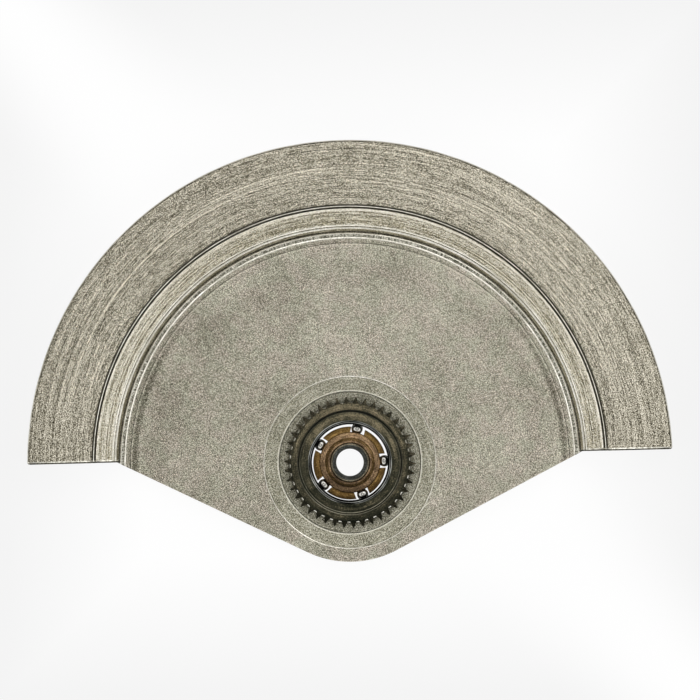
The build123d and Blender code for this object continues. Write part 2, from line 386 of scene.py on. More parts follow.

# %% [markdown]
# The step inside the band, the lips and the chamfer on the rim were cut with a sharper tool and
# have since been rubbed by the movement, which leaves them smoother. Their pale colour is a
# painted highlight: it draws the bright lines that these rounded edges show from above. A few
# dark nicks keep the line from looking drawn.

# %% Finish: burnished edges with a painted highlight
painted_highlight_edge, tree, shader, place = start_finish("edge_with_painted_highlight")
pattern = sum_of(
    tree,
    (noise_round_axis(tree, place, 9.5, along=0.5, across=0.05), 0.6),
    (noise_all_ways(tree, place, size=0.07), 0.5),
    (noise_all_ways(tree, place, size=2.2), 0.5),
)
stops = [(0.20, "8E8A7B"), (0.42, "CFCBBD"), (0.60, "EAE7DC"), (0.80, "FBF9F2")]
apply_pattern(tree, shader, pattern, stops, smoothest=0.18, roughest=0.34, relief=0.002)

# %% [markdown]
# The land between the step and the inner lip was turned with a fine feed. Its marks are closer
# and fainter, and it looks a little warmer than the band. Single bright and dark rings are painted
# light and shade: the highlights and shadows of the lip, the scribed line, the land's outer edge
# and the foot of the slope.

# %% Finish: turned tungsten alloy, fine
fine_turning, tree, shader, place = start_finish("tungsten_alloy_fine_turned")
long_marks = noise_round_axis(tree, place, 9.4, along=4.0, across=0.034, detail=0.0, shift=5.0)
edge_light_tones = [(8.95, 0.34), (8.97, 0.42), (9.05, 0.42), (9.07, 0.54), (9.098, 0.92)]
edge_light_tones += [(9.13, 0.92), (9.147, 0.22), (9.165, 0.5), (9.23, 0.5), (9.36, 0.48)]
edge_light_tones += [(9.378, 0.28), (9.396, 0.46), (9.415, 0.76), (9.434, 0.56), (9.458, 0.26)]
edge_light_tones += [(9.482, 0.47), (9.60, 0.48), (9.67, 0.53), (9.71, 0.44), (9.74, 0.56)]
edge_light_tones += [(9.765, 0.88), (9.815, 0.88), (9.845, 0.6)]
painted_edge_light = tone_by_radius(tree, place, edge_light_tones)
pattern = sum_of(
    tree,
    (noise_round_axis(tree, place, 9.4, along=7.0, across=0.05, detail=0.0), 0.9),
    (noise_round_axis(tree, place, 9.4, along=0.5, across=0.027, detail=0.0, shift=1.0), 0.75),
    (noise_all_ways(tree, place, size=0.0265, detail=0.0), 2.5),
    (noise_all_ways(tree, place, size=1.1), 0.15),
    (rare_marks(tree, long_marks, rarity=0.66), 0.30),
    (painted_edge_light, 1.0),
)
stops = [(0.12, "4C4737"), (0.40, "AFA68A"), (0.60, "D6CEB2"), (0.88, "FFFAEC")]
apply_pattern(tree, shader, pattern, stops, smoothest=0.28, roughest=0.42, relief=0.003)

# %% [markdown]
# The steep walls of the steps and the seam round the plate are painted near black, a painted
# shade. From above they are the thin dark lines that separate one turned surface from the next.

# %% Finish: painted shade in corners
painted_shade_corner, tree, shader, place = start_finish("painted_shade_in_corners")
pattern = sum_of(
    tree,
    (noise_round_axis(tree, place, 9.5, along=0.4, across=0.05), 0.7),
    (noise_all_ways(tree, place, size=0.08), 0.7),
)
stops = [(0.25, "14150F"), (0.50, "38372D"), (0.80, "7C796B")]
apply_pattern(tree, shader, pattern, stops, smoothest=0.40, roughest=0.60, relief=0.003)

# %% [markdown]
# The plate is brass under a matt nickel plating. Before plating, it was blasted with fine beads,
# which leaves a grain with no direction. Its blotches are years of handling: some of the
# nickel looks greenish grey and some pinkish grey. Fine scratches run across it in three
# directions. A painted highlight and a painted dark line mark the foot of the rim, with a faint
# darker ring further in, and towards the two ends of the rim the plate beside it is in painted
# shade. The plate is also painted a little paler towards +X, a painted light.

# %% Finish: bead blasted nickel
blasted_nickel, tree, shader, place = start_finish("nickel_plated_brass_blasted")
# The foot of the rim has a painted highlight and a painted shade line, with a faint darker ring
# further in. Beside the rim's ends the plate is painted in shade.
foot_light_tones = [(6.8, 0.5), (7.15, 0.465), (7.65, 0.46), (7.95, 0.5), (8.37, 0.5), (8.42, 0.53)]
foot_light_tones += [(8.455, 0.62), (8.48, 0.60), (8.497, 0.46), (8.52, 0.36), (8.54, 0.44)]
foot_light_tones += [(8.58, 0.40), (8.61, 0.45), (8.68, 0.46)]
rim_foot_painted_light = tone_by_radius(tree, place, foot_light_tones)
shade_tones = [(8.03, 0.5), (8.14, 0.53), (8.20, 0.47), (8.27, 0.30), (8.33, 0.25)]
shade_tones += [(8.42, 0.27), (8.47, 0.42), (8.50, 0.5), (8.68, 0.5)]
foot_in_shade = tone_by_radius(tree, place, shade_tones)
sideways = calculate_vector(tree, "DOT_PRODUCT", place, (1.0, 0.0, 0.0))
outwards = calculate(tree, "ABSOLUTE", sideways)
near_the_ends = map_range(tree, outwards, 5.8, 8.0)
end_shade = add_node(tree, "Mix", {0: near_the_ends, 2: NEUTRAL, 3: foot_in_shade})
pattern = sum_of(
    tree,
    (rim_foot_painted_light, 1.0),
    (end_shade.outputs[0], 1.0),
    (noise_all_ways(tree, place, size=0.027, detail=0.0), 1.8),
    (noise_all_ways(tree, place, size=0.35), 0.15),
    (noise_all_ways(tree, place, size=2.5), 0.27),
    (scratches(tree, place, heading=31, length=2.4, width=0.04, rarity=0.78), 0.3),
    (scratches(tree, place, heading=-52, length=2.2, width=0.04, rarity=0.79), -0.35),
    (scratches(tree, place, heading=60, length=1.8, width=0.04, rarity=0.79), -0.3),
    # Painted light: the plate is paler towards +X.
    (tone_along(tree, place, (1.0, 0.0, 0.0), 0.0045), 1.0),
)
stops = [(0.12, "434238"), (0.40, "98968A"), (0.60, "BEBBB0"), (0.88, "F8F6EE")]
apply_pattern(tree, shader, pattern, stops, smoothest=0.36, roughest=0.52, relief=0.004)
tint = add_node(
    tree,
    "ValToRGB",
    {"Fac": noise_all_ways(tree, place, size=0.6, detail=1.0)},
    stops=[(0.38, linear("FAF9ED")), (0.62, linear("FFF8F0"))],
)
tinted = add_node(
    tree,
    "Mix",
    {0: 1.0, 6: shader.inputs["Base Color"].links[0].from_socket, 7: tint.outputs["Color"]},
    data_type="RGBA",
    blend_type="MULTIPLY",
)
tree.links.new(tinted.outputs[2], shader.inputs["Base Color"])

# %% [markdown]
# Round the bearing the plate has two flat steps, turned after blasting. They are smoother than
# the plate and their marks are faint circles. The lower one has painted shade close to the gear,
# and the edge of the upper step a painted highlight.

# %% Finish: turned nickel in the hub's recess
turned_nickel, tree, shader, place = start_finish("nickel_plated_brass_turned")
step_tones = [(2.30, 0.26), (2.37, 0.33), (2.42, 0.42), (2.47, 0.47), (2.60, 0.50)]
step_tones += [(2.74, 0.50), (2.765, 0.98), (2.80, 0.98), (2.82, 0.50)]
gear_shade_and_step_highlight = tone_by_radius(tree, place, step_tones)
pattern = sum_of(
    tree,
    (gear_shade_and_step_highlight, 1.0),
    (noise_round_axis(tree, place, 3.0, along=0.9, across=0.05), 0.4),
    (noise_all_ways(tree, place, size=0.028, detail=0.0), 1.8),
    (noise_all_ways(tree, place, size=0.9), 0.2),
)
stops = [(0.12, "3E3D31"), (0.40, "8F8C77"), (0.60, "B2AE99"), (0.88, "EEEBDA")]
apply_pattern(tree, shader, pattern, stops, smoothest=0.34, roughest=0.50, relief=0.004)

# %% [markdown]
# The half ring isn't screwed to the plate. The plate's rim was rolled over it under a hard wheel,
# which left a narrow band of short marks that point to the axis. The same noise makes them,
# with its short side along the turning and its long side across it.

# %% Finish: rolled rim
rolled_rim, tree, shader, place = start_finish("nickel_plated_brass_rolled")
pattern = sum_of(
    tree,
    (noise_round_axis(tree, place, 8.75, along=0.055, across=0.5, detail=0.0), 0.9),
    (noise_all_ways(tree, place, size=0.028, detail=0.0), 1.6),
    (noise_all_ways(tree, place, size=0.16), 0.3),
    (noise_all_ways(tree, place, size=1.8), 0.25),
)
stops = [(0.12, "2B2A20"), (0.40, "7A7869"), (0.60, "A7A493"), (0.88, "F0EDE0")]
apply_pattern(tree, shader, pattern, stops, smoothest=0.30, roughest=0.46, relief=0.005)

# %% [markdown]
# The hardened rings of the bearing and the gear are steel. Oil has crept over them and dried to a
# brown film, broken up by blotches. Each finish is painted paler towards the weight and nearly
# black on the other side: a painted light that follows the place on the rotor. Tones by radius
# paint shade towards the edges of the outer ring's face and of the gear's face, and a highlight
# near the gear's bore. In the groove between ring and gear and in the gaps of the teeth the
# painted light runs the other way: bright where the rest is dark.

# %% Finish: steel under dried oil
def oiled_metal(name, dark, middle, light, paler_by, light_by_radius=((0.0, 0.5), (3.0, 0.5)), lean=0.0):
    finish, tree, shader, place = start_finish(name)
    pattern = sum_of(
        tree,
        # Painted light: paler along this direction, darker against it.
        (tone_along(tree, place, (lean, 1.0, 0.0), paler_by), 1.0),
        (tone_by_radius(tree, place, light_by_radius), 1.0),
        (noise_round_axis(tree, place, 2.0, along=1.4, across=0.06), 0.5),
        (noise_all_ways(tree, place, size=0.036, detail=0.0), 0.7),
        (noise_all_ways(tree, place, size=0.35), 0.45),
    )
    stops = [(0.15, dark), (0.5, middle), (0.85, light)]
    apply_pattern(tree, shader, pattern, stops, smoothest=0.28, roughest=0.45, relief=0.003)
    return finish


# These tones by radius paint shade at the edges of the ring's and the gear's faces, and a
# highlight near the gear's bore.
race_painted_shade = [(1.63, 0.38), (1.68, 0.46), (1.75, 0.52), (1.83, 0.57), (1.87, 0.50), (1.92, 0.42)]
gear_painted_light = [(2.03, 0.40), (2.055, 0.44), (2.068, 0.62), (2.085, 0.52), (2.15, 0.53)]
gear_painted_light += [(2.20, 0.48), (2.27, 0.38)]
race_steel = oiled_metal("bearing_steel_dried_oil", "161913", "3C3B2F", "80765E", 0.07, race_painted_shade)
gear_steel = oiled_metal(
    "hardened_steel_dried_oil", "171A15", "413F32", "8F8369", 0.065, gear_painted_light
)
tooth_steel = oiled_metal("hardened_steel_black_with_oil", "0E0F0A", "2A2920", "686150", 0.045)
# A painted glint in the gaps of the teeth, brightest away from the weight.
root_glint = oiled_metal("hardened_steel_painted_glint_in_gaps", "3A382C", "A8A596", "F4F2EA", -0.10)
# Oil in the groove, with painted light that runs the other way: paler away from the weight.
groove_oil_and_painted_light = oiled_metal("bearing_steel_oil_and_painted_light_in_groove", "31322A", "504F42", "84806F", -0.15)
core_steel = oiled_metal("hardened_steel_dark", "1C1D1B", "3A3B37", "666660", 0.02)
core_edge = oiled_metal("hardened_steel_rubbed", "332F25", "645C4A", "A89D86", 0.02)

# %% [markdown]
# The chamfer inside the outer ring was ground after hardening and is a dark mirror, painted
# near black for the dark that it mirrors. The bright hairlines on it are painted highlights on
# the edges of the rings that the wheel left, drawn two or three times as wide as they are, so
# that they show.

# %% Finish: ground chamfer
ground_chamfer, tree, shader, place = start_finish("bearing_steel_ground")
hairline_highlights = [(1.475, 0.34), (1.520, 0.32), (1.532, 0.50), (1.546, 0.90), (1.560, 0.48)]
hairline_highlights += [(1.580, 0.34), (1.594, 0.44), (1.606, 0.70), (1.620, 0.62)]
painted_ring_highlights = tone_by_radius(tree, place, hairline_highlights)
pattern = sum_of(
    tree,
    (painted_ring_highlights, 1.0),
    (noise_round_axis(tree, place, 1.5, along=0.8, across=0.2, detail=0.0), 0.5),
    (noise_all_ways(tree, place, size=0.8), 0.5),
)
stops = [(0.40, "080908"), (0.52, "151714"), (0.64, "6E706A"), (0.85, "D8D8D2")]
apply_pattern(tree, shader, pattern, stops, smoothest=0.14, roughest=0.30, relief=0.001)

# %% [markdown]
# The two soft metals of the bearing are the stamped brass comb between the balls, dulled to
# olive, and the upper cone ring, which the oil has stained copper brown. The ring's groove and
# its edges are painted darker, a painted shade.

# %% Finish: dull brass and stained ring
# Like the steel, both are painted paler towards the weight, a painted light.
cage_brass = oiled_metal("brass_dulled_by_oil", "3C2F18", "745A34", "B4935A", 0.05)
stained_ring = oiled_metal("cone_ring_copper_brown", "2C231A", "6B5741", "BC9C76", 0.11, lean=0.3)
cone_groove_painted_shade = oiled_metal("cone_ring_groove_painted_shade", "1D1610", "47381F", "8E724E", 0.16, lean=0.4)

# %% [markdown]
# Bearing balls are the smoothest steel in a watch. They act as mirrors, so their finish is only
# a bright metal with the faintest haze of oil.

# %% Finish: polished balls
ball_steel, tree, shader, place = start_finish("bearing_steel_polished")
pattern = sum_of(tree, (noise_all_ways(tree, place, size=0.12), 0.6))
stops = [(0.25, "A09D95"), (0.75, "C8C6C0")]
apply_pattern(tree, shader, pattern, stops, smoothest=0.04, roughest=0.10, relief=0.0004)
print("finishes:", len(bpy.data.materials))

# %% [markdown]
# The heavy half ring steps down from its rim to the axis: broad band, narrow ledge, land with a
# scribed line, lip, and a slope down to the seam with the plate. It is turned whole, sawn
# along a straight line, and its ends are then rounded over.

# %% Outline of the half ring
band_radius = 9.98
land_radius = 9.73
land_top = segment_top - 0.40
lip_radius = 9.18
seam_radius = 8.98
coarse, painted_highlight, fine, painted_shade = range(4)
# The pale edge finish of some rows paints their highlight, and the dark corner finish of others
# paints the shade on steep walls and feet.
segment_outline = [
    (9.3725, underside, 0.02, coarse),
    (rotor_radius, underside, 0.05, coarse),
    (rotor_radius, segment_top - 0.06, 0.02, painted_highlight),
    (rotor_radius - 0.045, segment_top - 0.016, 0.015, coarse),
    (rotor_radius - 0.10, segment_top, 0, coarse),
    (band_radius + 0.09, segment_top, 0.02, coarse),
    (band_radius + 0.025, segment_top - 0.012, 0.01, painted_shade),
    (band_radius - 0.035, segment_top - 0.19, 0.006, painted_highlight),
    (band_radius - 0.062, segment_top - 0.20, 0.006, painted_shade),
    (band_radius - 0.138, segment_top - 0.37, 0.01, fine),
    (land_radius + 0.01, land_top, 0, fine),
    (9.448, land_top, 0, fine),
    (9.437, land_top - 0.011, 0, fine),
    (9.426, land_top, 0, fine),
    (9.363, land_top, 0, fine),
    (9.352, land_top - 0.011, 0, fine),
    (9.341, land_top, 0, fine),
    (lip_radius + 0.034, land_top, 0.008, painted_highlight),
    (lip_radius - 0.010, segment_top - 0.418, 0.006, fine),
    (lip_radius - 0.038, segment_top - 0.450, 0.004, painted_shade),
    (lip_radius - 0.048, segment_top - 0.440, 0.004, painted_highlight),
    (lip_radius - 0.062, segment_top - 0.430, 0.008, painted_highlight),
    (lip_radius - 0.118, segment_top - 0.45, 0.01, fine),
    (seam_radius, segment_top - 0.615, 0.01, fine),
    (8.9625, segment_top - 0.65, 0.01, painted_shade),
    (8.9625, -0.27, 0, coarse),
    (9.3725, -0.27, 0, coarse),
]
print("steps down, in mm:", [round(segment_top - row[1], 3) for row in segment_outline])

# %% Turn it, saw it and round its ends
work = turn_on_lathe(segment_outline, steps=1080)
saw_off(work, (0, segment_end, 0), (0, -1, 0))
end_rounding = 0.03
corner_rounding = 0.10
beside_rim = 11.0
beside_step = (band_radius - 0.06, band_radius + 0.05)
slightly = 0.3
for share in (0.04, 0.15, 0.30, 0.55, 1.0):
    score(work, (0, segment_end + share * corner_rounding, 0), (0, 1, 0))
moves = []
for corner in work.verts:
    inside = corner.co.y - segment_end
    if inside > corner_rounding:
        continue
    facing = sum((face.normal for face in corner.link_faces if abs(face.normal.y) < 0.9), Vector())
    facing.normalize()
    sideways = 0.0
    if abs(corner.co.x) > beside_rim or beside_step[0] < abs(corner.co.x) < beside_step[1]:
        sideways = -math.copysign(round_over(inside, corner_rounding), facing.x)
    down = -math.copysign(round_over(inside, end_rounding), facing.z)
    if abs(facing.x) < slightly:
        sideways = 0.0
    if abs(facing.z) < slightly:
        down = 0.0
    moves.append((corner, Vector((sideways, 0, down))))
for corner, move in moves:
    corner.co += move
work.normal_update()
# Near each end, the top of the rounding is painted dark along the edge, a painted shade, and pale
# just inside it, a painted highlight.
for face in work.faces:
    inside = face.calc_center_median().y - segment_end
    if face.normal.z > slightly and inside < corner_rounding * 0.55:
        face.material_index = painted_shade
    elif face.normal.z > slightly and inside < corner_rounding:
        face.material_index = painted_highlight
print("points moved at the two ends:", len(moves))
finishes = [coarse_turning, painted_highlight_edge, fine_turning, painted_shade_corner]
hand_over(work, "turned_half_ring", "heavy_segment", "rotor", finishes)

# %% [markdown]
# The plate is turned as a disc: two steps round the bearing, a flat, a slope, and the rolled rim.
# It is then sawn to its outline, which is a round hub and two straight edges that touch it. The
# round hub is cut by many short planes, one per degree, and the top and bottom edges are
# lowered a little beside every cut. Only the faces that reach below a certain line take part in
# the short cuts, so that each is quick. They include the tall walls of the two straight edges.

# %% Outline of the plate
rim_radius = 8.9225
rim_top = 0.12
blasted, painted_highlight, turned, rolled, painted_shade = range(5)
# As on the half ring, the pale edge finish paints highlights on the rim and the step, and the dark
# corner finish paints shade at the rim's wall and the foot of its slope.
plate_outline = [
    (2.0, -0.33, 0, blasted),
    (2.26, -0.33, 0, blasted),
    (2.26, plate_underside, 0.01, blasted),
    (hub_radius - 0.035, plate_underside, 0, blasted),
    (hub_radius - 0.01, plate_underside, 0, blasted),
    (9.3325, plate_underside, 0.02, blasted),
    (9.3325, -0.27, 0, blasted),
    (rim_radius, -0.27, 0, painted_shade),
    (rim_radius, rim_top - 0.025, 0.01, painted_highlight),
    (rim_radius - 0.055, rim_top, 0.01, painted_highlight),
    (rim_radius - 0.072, rim_top - 0.018, 0.008, rolled),
    (rim_radius - 0.095, rim_top - 0.03, 0.01, rolled),
    (8.770, rim_top - 0.03, 0.008, rolled),
    (8.745, rim_top, 0.008, painted_highlight),
    (8.680, rim_top - 0.006, 0.01, blasted),
    (8.525, plate_top + 0.004, 0.01, painted_shade),
    (8.510, plate_top - 0.008, 0.004, blasted),
    (8.495, plate_top, 0.004, blasted),
    (8.44, plate_top, 0, blasted),
    (hub_radius - 0.01, plate_top, 0, blasted),
    (hub_radius - 0.035, plate_top, 0, blasted),
    (3.355, plate_top, 0.01, painted_highlight),
    (3.318, -0.014, 0.008, turned),
    (3.30, -0.06, 0.01, turned),
    (2.755, -0.06, 0.006, turned),
    (2.735, -0.14, 0.01, turned),
    (2.0, -0.14, 0, turned),
]
plate_steps = 1440
work = turn_on_lathe(plate_outline, steps=plate_steps)
print("rolled rim stands", rim_top, "mm above the plate")

# %% Marks of the rolling wheel
marks_from = 8.76
marks_to = rim_radius - 0.03
marks_above = 0.08
chance = random.Random(5)
dents = [chance.random() ** 2 * 0.005 for _ in range(plate_steps)]
pinches = [chance.uniform(-0.002, 0.002) for _ in range(plate_steps)]
for corner in work.verts:
    radius = math.hypot(corner.co.x, corner.co.y)
    if corner.co.z < marks_above or not marks_from <= radius <= marks_to:
        continue
    step = round(math.atan2(corner.co.y, corner.co.x) / math.tau * plate_steps) % plate_steps
    corner.co.z -= dents[step]
    corner.co.xy *= 1 + pinches[step] / radius
print("deepest mark of the wheel:", round(max(dents), 4), "mm")

# %% Saw the plate to its outline
rim_end_height = 0.155
far_angle = math.asin(rim_end_height / rim_radius)
slant = far_angle + math.asin(hub_radius / rim_radius)
edge_right = Vector((math.sin(slant), -math.cos(slant), 0))
edge_left = Vector((-edge_right.x, edge_right.y, 0))
lowest_angle = -math.pi / 2
touch_angle = math.atan2(edge_right.y, edge_right.x)
for away in (edge_right, edge_left):
    saw_off(work, away * hub_radius, away)
hub_cuts = round(math.degrees(touch_angle - lowest_angle))
low_line = -2.9
low_faces = [face for face in work.faces if min(v.co.y for v in face.verts) < low_line]
low_edges = list(dict.fromkeys(edge for face in low_faces for edge in face.edges))
low_corners = list(dict.fromkeys(corner for edge in low_edges for corner in edge.verts))
low_part = low_corners + low_edges + low_faces
for number in range(-hub_cuts + 1, hub_cuts):
    angle = lowest_angle + number / hub_cuts * (touch_angle - lowest_angle)
    away = Vector((math.cos(angle), math.sin(angle), 0))
    low_part = saw_off(work, away * hub_radius, away, low_part)
plate_rounding = 0.035
mid_height = -0.2
for share in (0.3, 1.0):
    for away in (edge_right, edge_left):
        score(work, away * (hub_radius - share * plate_rounding), away)
for corner in work.verts:
    inside = min(hub_radius - corner.co.dot(edge_right), hub_radius - corner.co.dot(edge_left))
    heading = math.atan2(corner.co.y, corner.co.x)
    if abs(heading - lowest_angle) < touch_angle - lowest_angle:
        inside = min(inside, hub_radius - math.hypot(corner.co.x, corner.co.y))
    down = round_over(inside, plate_rounding)
    corner.co.z += down if corner.co.z < mid_height else -down
weld(work, 0.0003)
print("open edges left:", open_edges(work))
print(f"straight edges slope {math.degrees(slant):.1f} degrees, hub cut in {2 * hub_cuts} facets")
finishes = [blasted_nickel, painted_highlight_edge, turned_nickel, rolled_rim, painted_shade_corner]
hand_over(work, "blasted_plate", "rotor_plate", "rotor", finishes)

# %% [markdown]
# The outer ring of the bearing is pressed into the plate. Its inner chamfer was ground in fine
# rings, which show as bright hairlines in a dark mirror, so the outline gets the rings as real
# grooves. The ball groove inside is a half round.

# %% Outer ring of the bearing
oiled, ground, oil_and_painted_light = range(3)
ball_circle = 1.33
groove_radius = 0.235
chamfer_foot = 1.475
chamfer_start = 0.36
chamfer_slope = 0.77
race_outline = [(chamfer_foot, 0.185, 0, ground), (chamfer_foot, chamfer_start, 0.004, ground)]
for radius in (1.498, 1.540, 1.590):
    height = chamfer_start + (radius - chamfer_foot) * chamfer_slope
    race_outline += [(radius - 0.006, height - 0.005, 0.002, ground)]
    race_outline += [(radius + 0.006, height + 0.005, 0.002, ground)]
race_outline += [
    (1.62, 0.45, 0.004, oiled),
    # The edge into the groove gets the oil finish whose painted light runs the other way.
    (1.935, 0.45, 0.01, oil_and_painted_light),
    (1.965, 0.435, 0.006, oil_and_painted_light),
    (1.99, 0.395, 0, oil_and_painted_light),
    (1.99, 0.36, 0, oiled),
    (1.99, -0.33, 0, oiled),
    (2.25, -0.33, 0, oiled),
    (2.25, -0.45, 0.03, oiled),
    (1.58, -0.45, 0.01, oiled),
    (chamfer_foot, -chamfer_start, 0.01, ground),
    (chamfer_foot, -0.185, 0, ground),
]
for number in range(1, 16):
    angle = math.radians(-52 + number * 6.5)
    out = ball_circle + groove_radius * math.cos(angle)
    race_outline += [(out, groove_radius * math.sin(angle), 0, ground)]
print("corners in the outline of the outer ring:", len(race_outline))
work = turn_on_lathe(race_outline, steps=360)
finishes = [race_steel, ground_chamfer, groove_oil_and_painted_light]
hand_over(work, "ground_outer_ring", "outer_race", "rotor", finishes)

# %% [markdown]
# The gear has 42 pointed teeth. One tooth's outline is drawn as a few points and repeated round
# the axis by Spin with duplicates. The whole loop is then extruded, edges only, again and again,
# and each time its new points are moved: up the teeth, in over their bevel to the flat
# face, and from the other side down round the boss and through the bore, until they meet. The
# gaps end where the photograph shows it, a little further out than in the engineering model.

# %% Outline of the teeth
tooth_count = 42
tooth_module = 0.116
tooth_root = 2.332
tooth_tip = 2.552
gear_top = 0.40
gear_bottom = 0.06
pitch = math.tau / tooth_count
gear_turn = math.radians(1.9)
half_tooth = [(tooth_root, 1.0), (tooth_root, 0.85), (tooth_root + 0.004, 0.72), (2.35, 0.50)]
half_tooth += [(2.43, 0.33), (2.51, 0.18), (tooth_tip, 0.06)]
whole_tooth = half_tooth + [(radius, -share) for radius, share in reversed(half_tooth)]
work = bmesh.new()
chain = []
for radius, share in whole_tooth:
    angle = math.pi / 2 + gear_turn + pitch / 2 * share
    chain += [work.verts.new((radius * math.cos(angle), radius * math.sin(angle), gear_bottom))]
drawn = [work.edges.new(pair) for pair in zip(chain, chain[1:])]
spin_round(work, chain + drawn, math.tau - pitch, tooth_count - 1, copies=True)
bmesh.ops.remove_doubles(work, verts=work.verts[:], dist=0.001)
teeth = work.edges[:]
print("pitch circle:", round(tooth_module * tooth_count, 3), "mm across")
print("edges round the teeth:", len(teeth))

# %% Extrude the teeth and the ring
bevel = 0.012
bevel_foot = tooth_root - 0.038
tooth_slope = 0.27
gap_foot = 2.37
narrowing = 0.88
gear_bore = 2.0
boss_radius = 2.231
boss_bottom = -0.14


def pull_loop(work, loop, move):
    made = bmesh.ops.extrude_edge_only(work, edges=loop)["geom"]
    for part in made:
        if isinstance(part, bmesh.types.BMVert):
            part.co = move(part.co)
    return [part for part in made if isinstance(part, bmesh.types.BMEdge)]


def put_at(point, radius, height):
    heading = math.atan2(point.y, point.x)
    return Vector((radius * math.cos(heading), radius * math.sin(heading), height))


def up_the_tooth(point):
    radius = math.hypot(point.x, point.y)
    return put_at(point, radius, gear_top - bevel - tooth_slope * (radius - bevel_foot))


def out_at_the_root(point):
    radius = math.hypot(point.x, point.y)
    return put_at(point, max(radius, gap_foot), gear_bottom)


def over_the_bevel(point, radius, height, share):
    heading = math.atan2(point.y, point.x) - math.pi / 2 - gear_turn
    middle = round(heading / pitch) * pitch
    aside = heading - middle
    if abs(aside) < 0.48 * pitch:
        aside *= share
    heading = math.pi / 2 + gear_turn + middle + aside
    return Vector((radius * math.cos(heading), radius * math.sin(heading), height))


foot = work.verts[:]
loop = pull_loop(work, teeth, up_the_tooth)
for corner in foot:
    corner.co = out_at_the_root(corner.co)
loop = pull_loop(
    work,
    loop,
    lambda point: over_the_bevel(
        point, math.hypot(point.x, point.y) - bevel, point.z + bevel, narrowing
    ),
)
pull_loop(work, loop, lambda point: over_the_bevel(point, bevel_foot, gear_top, 1 / narrowing))
ring = [(boss_radius, gear_bottom), (boss_radius, boss_bottom), (gear_bore, boss_bottom)]
ring += [(gear_bore, gear_top - 0.04), (gear_bore + 0.015, gear_top - bevel)]
ring += [(gear_bore + 0.045, gear_top), (bevel_foot, gear_top)]
loop = teeth
for radius, height in ring:
    loop = pull_loop(work, loop, lambda point: put_at(point, radius, height))
weld(work, 0.0005)
print("open edges left:", open_edges(work))

# %% Finishes of the gear, and hand it over
# Faces at the roots of the gaps get the painted glint, and the bore's top edge the groove's
# painted light.
toothed, glinting, edge_of_bore = 1, 2, 3
for face in work.faces:
    centre = face.calc_center_median()
    radius = centre.xy.length
    heading = math.atan2(centre.y, centre.x) - math.pi / 2 - gear_turn
    from_tooth = (heading + pitch / 2) % pitch - pitch / 2
    in_gap = abs(from_tooth) > 0.36 * pitch and centre.z > 0.3
    if in_gap and 0.006 < radius - bevel_foot < 0.047:
        face.material_index = glinting
    elif radius > bevel_foot + 0.014:
        face.material_index = toothed
    elif radius < gear_bore + 0.035 and centre.z > 0.2:
        face.material_index = edge_of_bore
print("glinting faces:", sum(face.material_index == glinting for face in work.faces))
finishes = [gear_steel, tooth_steel, root_glint, groove_oil_and_painted_light]
hand_over(work, "toothed_ring", "rotor_gear", "rotor", finishes)

# %% [markdown]
# The comb that keeps the balls apart is stamped from thin brass sheet. It is open to the outside,
# so it looks like five broad fingers. It has slid a little to one side, as loose parts do.

# %% Outline of the comb
pocket_turn = math.radians(2.7)
slid_towards = math.radians(245)
settling = Vector((0.03 * math.cos(slid_towards), 0.03 * math.sin(slid_towards), 0))
comb_bottom = -0.05
comb_thickness = 0.10
comb_bore = 0.875
comb_radius = 1.415
web_radius = 1.065
pocket_half = 0.272
mouth = math.asin(pocket_half / comb_radius)
fifth = math.tau / 5
arc = [mouth + (fifth - 2 * mouth) * number / 24 for number in range(25)]
inner = math.hypot(web_radius, pocket_half)
next_pocket = fifth - math.atan2(pocket_half, web_radius)
outline = [(web_radius, -pocket_half), (web_radius, pocket_half)]
outline += [(comb_radius * math.cos(angle), comb_radius * math.sin(angle)) for angle in arc]
outline += [(inner * math.cos(next_pocket), inner * math.sin(next_pocket))]
work = bmesh.new()
chain = [work.verts.new((out, aside, comb_bottom)) for out, aside in outline]
drawn = [work.edges.new(pair) for pair in zip(chain, chain[1:])]
spin_round(work, chain + drawn, fifth * 4, 4, copies=True)
bmesh.ops.remove_doubles(work, verts=work.verts[:], dist=0.001)
loose_ends = sum(len(corner.link_edges) != 2 for corner in work.verts)
print("pockets", 2 * pocket_half, "mm wide, open ends:", loose_ends)

# %% Fill the comb and give it its thickness
rim = bmesh.ops.create_circle(work, cap_ends=False, radius=comb_bore, segments=180)["verts"]
bmesh.ops.translate(work, verts=rim, vec=(0, 0, comb_bottom))
bmesh.ops.triangle_fill(
    work, use_beauty=True, use_dissolve=False, edges=work.edges[:], normal=(0, 0, 1)
)
turning = Matrix.Rotation(pocket_turn, 3, "Z")
bmesh.ops.rotate(work, verts=work.verts[:], cent=(0, 0, 0), matrix=turning)
bmesh.ops.translate(work, verts=work.verts[:], vec=settling)
raised = bmesh.ops.extrude_face_region(work, geom=work.faces[:], use_keep_orig=True)["geom"]
top = [part for part in raised if isinstance(part, bmesh.types.BMVert)]
bmesh.ops.translate(work, verts=top, vec=(0, 0, comb_thickness))
bmesh.ops.recalc_face_normals(work, faces=work.faces[:])
sharp = [edge for edge in work.edges if edge.is_manifold and edge.calc_face_angle() > 1.2]
bmesh.ops.bevel(
    work, geom=sharp, offset=0.012, segments=2, profile=0.5, affect="EDGES", material=-1
)
print("comb corners:", len(work.verts), "open edges:", open_edges(work))
hand_over(work, "brass_comb", "ball_cage", "cage", [cage_brass])

# %% [markdown]
# The balls lie where the photograph shows them. The frame gives the place of each.

# %% Balls
ball_radius = 0.225
for number in range(1, 6):
    name = f"ball_{number}"
    lowest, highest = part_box(name)
    centre = (lowest + highest) / 2 / MM
    work = bmesh.new()
    bmesh.ops.create_uvsphere(work, u_segments=64, v_segments=40, radius=ball_radius)
    bmesh.ops.translate(work, verts=work.verts[:], vec=centre)
    hand_over(work, f"polished_{name}", name, name, [ball_steel])

